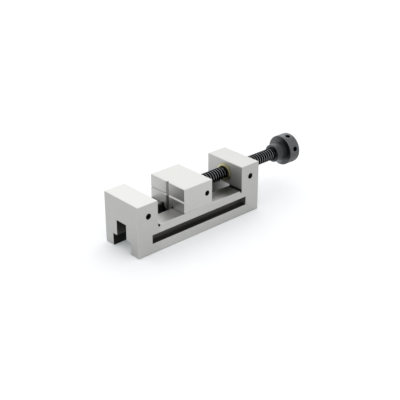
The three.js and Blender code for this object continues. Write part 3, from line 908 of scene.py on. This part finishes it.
def turned_finish(name, colour, roughness, chamfer_highlight, thread=None, bands=(), pit=None):
    """A turned surface round the screw's axis: fine rings and patches, chamfers lightened by a share as a painted
    highlight.

    A thread gets a worn line on its crest, a Band paints light and shade over a ring, and a pit, given as
    two limits along the axis and two radii, is painted dark as shade.
    """
    finish = Finish(name)
    x, y, z = finish.place(SCREW_CENTRE)
    off_axis = radius_at(y, z)
    around = z.angle(y)
    rings = finish.noise((x, off_axis, around), RINGS)
    patches, specks = (finish.noise((x, y, z), grain) for grain in (TURNED_PATCHES, TURNED_SPECKS))
    tone = vary(
        1.0, (rings, RINGS.tone), (patches, TURNED_PATCHES.tone), (specks, TURNED_SPECKS.tone))
    # Painted highlight on the chamfers
    tone = tone + inside(finish.facing()[0], *CHAMFER) * chamfer_highlight
    # Bands paint light and shade across a ring
    across = {"y": y, "slant": y * SLANT + z}
    for band in bands:
        share = across[band.along].ramp(*band.levels)
        tone = tone * level(inside(off_axis, band.inner, band.outer), share)
    # Painted shade in the pit
    if pit:
        tone = tone * level(inside(x, *pit[:2]) * inside(off_axis, *pit[2:]), BAR_HOLE_TONE)
    shade = tint(colour, tone)
    gloss = vary(roughness, (patches, TURNED_PATCHES.gloss))
    if thread:
        crest = off_axis > (thread.crest + thread.root) / 2
        wear = crest * crest_line(x, around, thread) * fade(specks, "worn_specks")
        shade = mix(wear, shade, (*bpy.context.scene.vise_colours.crest, 1))
        gloss = gloss - wear * WORN_LESS
        finish.feed(finish.shader, "Specular Tint", OXIDE_SHEEN)
    return finish.close(shade, gloss, specks * SPECKS_RELIEF + rings, *TURNED_RELIEF)


def plain_steel(name, colour, roughness=0.36):
    """Steel with fine patches of tone and gloss, for small screws and polished pieces."""
    finish = Finish(name)
    place = finish.place()
    patches, specks = (finish.noise(place, grain) for grain in (PLAIN_PATCHES, PLAIN_SPECKS))
    shade = tint(colour, vary(1.0, (patches, PLAIN_PATCHES.tone), (specks, PLAIN_SPECKS.tone)))
    gloss = vary(roughness, (patches, PLAIN_PATCHES.gloss))
    return finish.close(shade, gloss, specks, *PLAIN_RELIEF)


class VISE_OT_ground_blocks(bpy.types.Operator):
    """Give the body, the moving jaw, the keeper and the hidden hardened pieces their finishes"""

    bl_idname = "vise.ground_blocks"
    bl_label = "Ground Blocks"

    def execute(self, context):
        finishes = {
            "vise_body": ground_steel("body_steel", body_faces, body_layers, body_pit_shade),
            "moving_jaw": ground_steel("jaw_steel", jaw_faces, jaw_layers, jaw_pit_shade),
            "keeper_plate": ground_steel("keeper_steel"),
        }
        polished = plain_steel("polished_steel", context.scene.vise_colours.hardened, roughness=0.18)
        finishes.update(dict.fromkeys(("thrust_disc", "thrust_ball", "knob_drive_pin"), polished))
        for node, material in finishes.items():
            piece = frame["nodes"][node]
            piece.data.materials.clear()
            piece.data.materials.append(material)
        return {"FINISHED"}


class VISE_OT_lead_screw(bpy.types.Operator):
    """Model the lead screw: trapezoidal thread, grooved nose and plain spigot"""

    bl_idname = "vise.lead_screw"
    bl_label = "Lead Screw"

    def execute(self, context):
        scene = context.scene
        sizes = scene.vise_spindle
        nose, edge = sizes.nose_radius, sizes.edge
        crest = radius_of("lead_screw")
        cutting = scene.vise_thread
        thread = thread_between(crest - cutting.depth, crest, 0, cutting.rounding)
        start = JAW_REAR + sizes.lead
        end = KNOB_FRONT + scene.vise_knob.front_depth - FIT_GAP
        piece = chamfered_threads("threaded_spindle", thread, start, end, nose)
        groove_middle = middle("retaining_screw_near").x
        groove_start, groove_end = (
            groove_middle + sign * sizes.groove_width / 2 for sign in (-1, 1))
        turn_on(piece, (start, nose), -1, [
            (groove_end, nose), (groove_end, sizes.groove_radius),
            (groove_start, sizes.groove_radius), (groove_start, nose),
            (SCREW_START + edge, nose), (SCREW_START, nose - edge)])
        turn_on(piece, (end, nose), 1, [
            (end, sizes.spigot_radius),
            (SCREW_END - edge, sizes.spigot_radius), (SCREW_END, sizes.spigot_radius - edge)])
        ball_radius = radius_of("thrust_ball") + FIT_GAP
        seat_end = middle("thrust_ball").x + ball_radius
        bore(piece, SCREW_START - OVERRUN, seat_end, ball_radius, SIDES["hole"])
        hole_start = span("knob_screw", "x")[0] - FIT_GAP
        hole_radius = scene.vise_fasteners.shank_radius + FIT_GAP
        bore(piece, hole_start, SCREW_END + OVERRUN, hole_radius, SIDES["pin"])
        put(piece, SCREW_CENTRE)
        material = turned_finish(
            "black_oxide", scene.vise_colours.spindle, roughness=0.30, chamfer_highlight=0.12, thread=thread)
        finish_piece(piece, "spindle", "black_oxide", material, "lead_screw")
        return {"FINISHED"}


class VISE_OT_spindle_nut(bpy.types.Operator):
    """Model the brass nut: flange, body and internal thread"""

    bl_idname = "vise.spindle_nut"
    bl_label = "Spindle Nut"

    def execute(self, context):
        sizes = context.scene.vise_nut
        body_radius, edge = sizes.body_radius, sizes.flange_edge
        cutting = context.scene.vise_thread
        thread = thread_between(cutting.nut_bore, cutting.nut_root, cutting.play, cutting.play)
        flange_radius = radius_of("spindle_nut")
        flange_rear = NUT_FRONT + sizes.flange
        mouth = radius_of("lead_screw") + sizes.mouth_gap
        piece = add_rod("brass_nut", NUT_FRONT + edge, flange_rear, flange_radius, SIDES["nut"])
        turn_on(piece, (NUT_FRONT + edge, flange_radius), -1, [
            (NUT_FRONT + edge / 3, flange_radius - edge / 3), (NUT_FRONT, flange_radius - edge)])
        turn_on(piece, (flange_rear, flange_radius), 1, [
            (flange_rear, body_radius),
            (NUT_REAR - edge / 2, body_radius), (NUT_REAR, body_radius - edge / 2)])
        cut(piece, threaded_rod("nut_thread", thread, NUT_FRONT - edge, NUT_REAR + edge))
        flare = mouth - thread.root
        for place, sign in ((NUT_FRONT, -1), (NUT_REAR, 1)):
            low, high = sorted((place, place + sign * OVERRUN))
            cone = add_rod("mouth", low, high, mouth, SIDES["nut"])
            turn_on(cone, (place, mouth), -sign, [(place - sign * flare, thread.root)])
            cut(piece, cone)
        put(piece, SCREW_CENTRE)
        outer = flange_radius + edge
        # The band paints the nut darker on the near side as shade and lighter on the far side
        material = turned_finish(
            "turned_brass", context.scene.vise_colours.brass, roughness=0.34, chamfer_highlight=0.2,
            bands=[Band(0, outer, "y", (-outer, outer, 0.45, 1.4))])
        finish_piece(piece, "base", "brass", material, "spindle_nut")
        return {"FINISHED"}


def knob_finish(sizes, disc_radius, hole_x):
    """The knob's grey oxide, with painted light and shade: paler to one side and low on its face, painted dark in
    the tommy-bar holes.
    """
    root = sizes.hub_radius + sizes.fillet
    face = disc_radius - sizes.rim_edge
    rim = disc_radius + sizes.rim_edge
    # Painted light and shade: the hub and the face paler to the far side and low on the face, the rim paler up the
    # slant
    bands = [
        Band(0, root, "y", (-root, root, 0.6, 1.5)),
        Band(root, face, "y", (-0.3 * face, face, 0.35, 2.0)),
        Band(root, face, "slant", (-0.0155, -0.0115, 3.0, 0.8)),
        Band(face, rim, "slant", (-0.010, 0.003, 0.87, 1.22)),
    ]
    wall = sizes.bar_hole + 2 * sizes.bar_mouth
    hole_bottom = sizes.rear_recess + sizes.rim_edge
    hole_top = disc_radius - sizes.bar_mouth / 9
    return turned_finish(
        "grey_oxide", bpy.context.scene.vise_colours.knob, roughness=0.42, chamfer_highlight=0.35, bands=bands,
        pit=(hole_x - wall, hole_x + wall, hole_bottom, hole_top))


class VISE_OT_knob(bpy.types.Operator):
    """Model the knob: hub and disc, recesses, bore and tommy-bar holes"""

    bl_idname = "vise.knob"
    bl_label = "Knob"

    def execute(self, context):
        sizes = context.scene.vise_knob
        disc_radius = radius_of("knob")
        shoulder = KNOB_FRONT + sizes.hub_length
        recess_bottom = KNOB_FRONT + sizes.front_depth
        rim = sizes.rim_edge
        piece = add_rod("tommy_knob", shoulder + rim, KNOB_REAR - rim, disc_radius, SIDES["knob"])
        turn_on(piece, (shoulder + rim, disc_radius), -1, [
            (shoulder, disc_radius - rim), (shoulder, sizes.hub_radius),
            (KNOB_FRONT + sizes.hub_edge, sizes.hub_radius),
            (KNOB_FRONT, sizes.hub_radius - sizes.hub_edge), (KNOB_FRONT, sizes.front_recess),
            (recess_bottom, sizes.front_recess), (recess_bottom, sizes.bore)])
        turn_on(piece, (KNOB_REAR - rim, disc_radius), 1, [
            (KNOB_REAR, disc_radius - rim), (KNOB_REAR, sizes.rear_recess),
            (WASHER_FRONT, sizes.rear_recess), (WASHER_FRONT, sizes.bore)])
        bevel_ring(piece, shoulder, sizes.hub_radius, sizes.fillet, FILLET_STEPS)
        bore(piece, KNOB_FRONT, KNOB_REAR, sizes.bore - HAIR, SIDES["nut"])
        pin = add_rod(
            "pin_hole", span("knob_drive_pin", "x")[0] - FIT_GAP, KNOB_REAR,
            radius_of("knob_drive_pin") + FIT_GAP, SIDES["pin"])
        put(pin, (0, 0, middle("knob_drive_pin").z - SCREW_HEIGHT))
        cut(piece, pin)
        hole_x = shoulder + sizes.bar_place
        self.drill_bar_holes(piece, sizes, disc_radius, hole_x)
        put(piece, SCREW_CENTRE)
        material = knob_finish(sizes, disc_radius, hole_x)
        finish_piece(piece, "spindle", "grey_oxide", material, "knob")
        return {"FINISHED"}

    def drill_bar_holes(self, piece, sizes, disc_radius, hole_x):
        """Drill the tommy-bar holes into the disc's rim, each with a cone at its bottom and mouth."""
        radius = sizes.bar_hole
        bottom = disc_radius - sizes.bar_depth
        mouth = disc_radius - sizes.bar_mouth
        over = 2 * sizes.bar_mouth
        for number in range(sizes.bar_holes):
            angle = sizes.bar_turn + FULL_TURN * number / sizes.bar_holes
            hole = add_rod("bar_hole", bottom, mouth, radius, SIDES["hole"])
            turn_on(hole, (bottom, radius), -1, [(bottom - radius / 2, sizes.bar_point)])
            turn_on(hole, (mouth, radius), 1, [(mouth + over, radius + over)])
            put(hole, (hole_x, 0, 0), (0, math.cos(angle), math.sin(angle)))
            cut(piece, hole)


def cap_screw(name, node, axis):
    """A socket cap screw of its CAD node's size along an axis, made along +X from under its head."""
    sizes = bpy.context.scene.vise_fasteners
    head, edge, shank = sizes.head_height, sizes.edge, sizes.shank_radius
    head_radius = radius_of(node)
    low, high = span(node, axis)
    grip = high - low - head
    piece = add_rod(name, 0, head - edge, head_radius, SIDES["cap_screw"])
    turn_on(piece, (head - edge, head_radius), 1, [(head, head_radius - edge)])
    turn_on(piece, (0, head_radius), -1, [(0, shank), (edge - grip, shank), (-grip, shank - edge)])
    hex_socket(piece, head, sizes.socket_radius, sizes.socket_depth)
    return piece


class VISE_OT_cap_screws(bpy.types.Operator):
    """Model the keeper's two cap screws, the knob's cap screw and its washer"""

    bl_idname = "vise.cap_screws"
    bl_label = "Cap Screws"

    def execute(self, context):
        sizes = context.scene.vise_fasteners
        head = sizes.head_height
        material = plain_steel("blackened_screws", context.scene.vise_colours.fasteners)
        front = cap_screw("keeper_cap_screw_front", "keeper_screw_front", "z")
        rear = copy_of(front, "keeper_cap_screw_rear")
        for piece, node in ((front, "keeper_screw_front"), (rear, "keeper_screw_rear")):
            put_in(piece, node, "z", -1, head)
            finish_piece(piece, "jaw", "black_screw", material, node)
        knob_screw = cap_screw("knob_cap_screw", "knob_screw", "x")
        put_in(knob_screw, "knob_screw", "x", 1, head)
        finish_piece(knob_screw, "spindle", "black_screw", material, "knob_screw")
        radius, edge = radius_of("knob_washer"), sizes.washer_edge
        ring = add_rod("knob_ring", WASHER_FRONT, WASHER_REAR, radius, SIDES["washer"])
        bevel_ring(ring, WASHER_REAR, radius, edge)
        hole_radius = sizes.shank_radius + FIT_GAP
        bore(ring, WASHER_FRONT - edge, WASHER_REAR + edge, hole_radius, SIDES["hole"])
        put(ring, SCREW_CENTRE)
        finish_piece(ring, "spindle", "black_screw", material, "knob_washer")
        return {"FINISHED"}


def set_screw(name, node, dog_length):
    """A socket set screw of its CAD node's size, made along +X, with a dog point if it has a length."""
    sizes = bpy.context.scene.vise_fasteners
    edge = sizes.edge
    radius = radius_of(node, "x")
    end = 2 * radius_of(node, "y")
    piece = add_rod(name, dog_length + edge, end - edge, radius, SIDES["hole"])
    turn_on(piece, (end - edge, radius), 1, [(end, radius - edge)])
    foot = [(dog_length, radius - edge)]
    if dog_length:
        foot += [(dog_length, sizes.dog_radius), (0, sizes.dog_radius)]
    turn_on(piece, (dog_length + edge, radius), -1, foot)
    socket = radius * sizes.socket_share
    hex_socket(piece, end, socket, socket)
    return piece


class VISE_OT_set_screws(bpy.types.Operator):
    """Model the retaining screws in the jaw's side holes and the lock screws in the end block's"""

    bl_idname = "vise.set_screws"
    bl_label = "Set Screws"

    def execute(self, context):
        colours = context.scene.vise_colours
        dog_length = context.scene.vise_fasteners.dog_length
        black = plain_steel("blackened_set_screws", colours.fasteners)
        grey = plain_steel("worn_set_screws", colours.worn_screws, roughness=0.3)
        kinds = (
            ("retaining_screw_", "jaw", "black_screw", black, dog_length),
            ("nut_lock_screw_", "base", "grey_screw", grey, 0),
        )
        for kind, body, slot, material, point in kinds:
            near = set_screw(kind + "threaded_near", kind + "near", point)
            far = copy_of(near, kind + "threaded_far")
            length = 2 * radius_of(kind + "near", "y")
            for piece, place, sign in ((near, "near", -1), (far, "far", 1)):
                put_in(piece, kind + place, "y", sign, length)
                finish_piece(piece, body, slot, material, kind + place)
        return {"FINISHED"}


def floor_finish(sizes):
    """Pale floor: it keeps the shadow, and a share of white is added where it is seen or reflected."""
    finish = Finish("pale_floor", 0.0)
    finish.nodes.remove(finish.shader)
    paint = finish.add("BsdfDiffuse", {"Color": (*[sizes.floor_white] * 3, 1)})
    camera, glossy, through = (
        finish.add("LightPath", {}, f"Is {kind} Ray") for kind in ("Camera", "Glossy", "Transmission"))
    strength = (camera | glossy | through) * sizes.floor_lift
    glow = finish.add("Emission", {"Color": (*sizes.floor_tint, 1), "Strength": strength})
    surface = finish.add("AddShader", {0: paint, 1: glow})
    finish.feed(finish.nodes["Material Output"], "Surface", surface)
    return finish.material


def set_sky(sizes):
    """Soft light all round: white where it is seen or reflected, brighter as a light."""
    world = bpy.data.worlds.new("soft_studio")
    sky = Tree(world)
    background = sky.nodes["Background"]
    as_light = sky.add("LightPath", {}, "Is Diffuse Ray")
    sky.feed(background, "Strength", as_light.ramp(0.0, 1.0, 1.0, sizes.sky))
    sky.feed(background, "Color", (1, 1, 1, 1))
    bpy.context.scene.world = world


def add_facing(name, data, target, azimuth, elevation, distance):
    """A lamp or camera that looks at the target from an azimuth, an elevation and a distance."""
    flat = math.cos(elevation)
    away = Vector((flat * math.sin(azimuth), -flat * math.cos(azimuth), math.sin(elevation)))
    item = bpy.data.objects.new(name, data)
    bpy.context.scene.collection.objects.link(item)
    item.location = target + away * distance
    item.rotation_euler = away.to_track_quat("Z", "Y").to_euler()
    return item


class VISE_OT_stage(bpy.types.Operator):
    """Make the pale floor, the soft light, the camera and the big lamp behind the vise"""

    bl_idname = "vise.stage"
    bl_label = "Stage"

    def execute(self, context):
        sizes = context.scene.vise_stage
        clear_selection()
        bpy.ops.mesh.primitive_plane_add(size=sizes.floor_size, location=(0, 0, -sizes.floor_drop))
        floor = context.object
        floor.name = "floor"
        apply_place(floor)
        floor.data.materials.append(floor_finish(sizes))
        set_sky(sizes)
        target = Vector(sizes.target)
        softbox = bpy.data.lights.new("softbox", "AREA")
        softbox.shape = "RECTANGLE"
        softbox.size, softbox.size_y = sizes.lamp_width, sizes.lamp_height
        softbox.energy = sizes.lamp_level * math.pi * sizes.lamp_width * sizes.lamp_height
        lamp = add_facing(
            "softbox", softbox, target, sizes.azimuth + math.pi, sizes.lamp_elevation,
            sizes.lamp_distance)
        lamp.visible_camera = False
        lens = bpy.data.cameras.new("camera")
        lens.lens = sizes.lens
        context.scene.camera = add_facing(
            "camera", lens, target, sizes.azimuth, sizes.elevation, sizes.distance)
        context.scene.view_settings.view_transform = "Standard"
        return {"FINISHED"}


OPERATORS = (
    VISE_OT_ground_blocks,
    VISE_OT_lead_screw,
    VISE_OT_spindle_nut,
    VISE_OT_knob,
    VISE_OT_cap_screws,
    VISE_OT_set_screws,
    VISE_OT_stage,
)
GROUPS = {
    "vise_thread": ThreadSizes,
    "vise_spindle": SpindleSizes,
    "vise_nut": NutSizes,
    "vise_knob": KnobSizes,
    "vise_fasteners": FastenerSizes,
    "vise_reliefs": ReliefSizes,
    "vise_colours": FinishColours,
    "vise_stage": StageSizes,
}


class VISE_PT_pieces(bpy.types.Panel):
    """Lists the operators that make the vise, and the sizes they use"""

    bl_idname = "VISE_PT_pieces"
    bl_label = "Precision Vise"
    bl_space_type = "VIEW_3D"
    bl_region_type = "UI"
    bl_category = "Vise"

    def draw(self, context):
        for operator in OPERATORS:
            self.layout.operator(operator.bl_idname)
        for name, group in GROUPS.items():
            box = self.layout.box()
            box.label(text=group.__doc__)
            for size in group.__annotations__:
                box.prop(getattr(context.scene, name), size)


def register():
    for group in GROUPS.values():
        bpy.utils.register_class(group)
    for name, group in GROUPS.items():
        setattr(bpy.types.Scene, name, bpy.props.PointerProperty(type=group))
    for item in (*OPERATORS, VISE_PT_pieces):
        bpy.utils.register_class(item)


def unregister():
    for item in (VISE_PT_pieces, *reversed(OPERATORS)):
        bpy.utils.unregister_class(item)
    for name, group in GROUPS.items():
        delattr(bpy.types.Scene, name)
        bpy.utils.unregister_class(group)


def main():
    register()
    for operator in OPERATORS:
        category, name = operator.bl_idname.split(".")
        getattr(getattr(bpy.ops, category), name)()


if __name__ == "__main__":
    main()
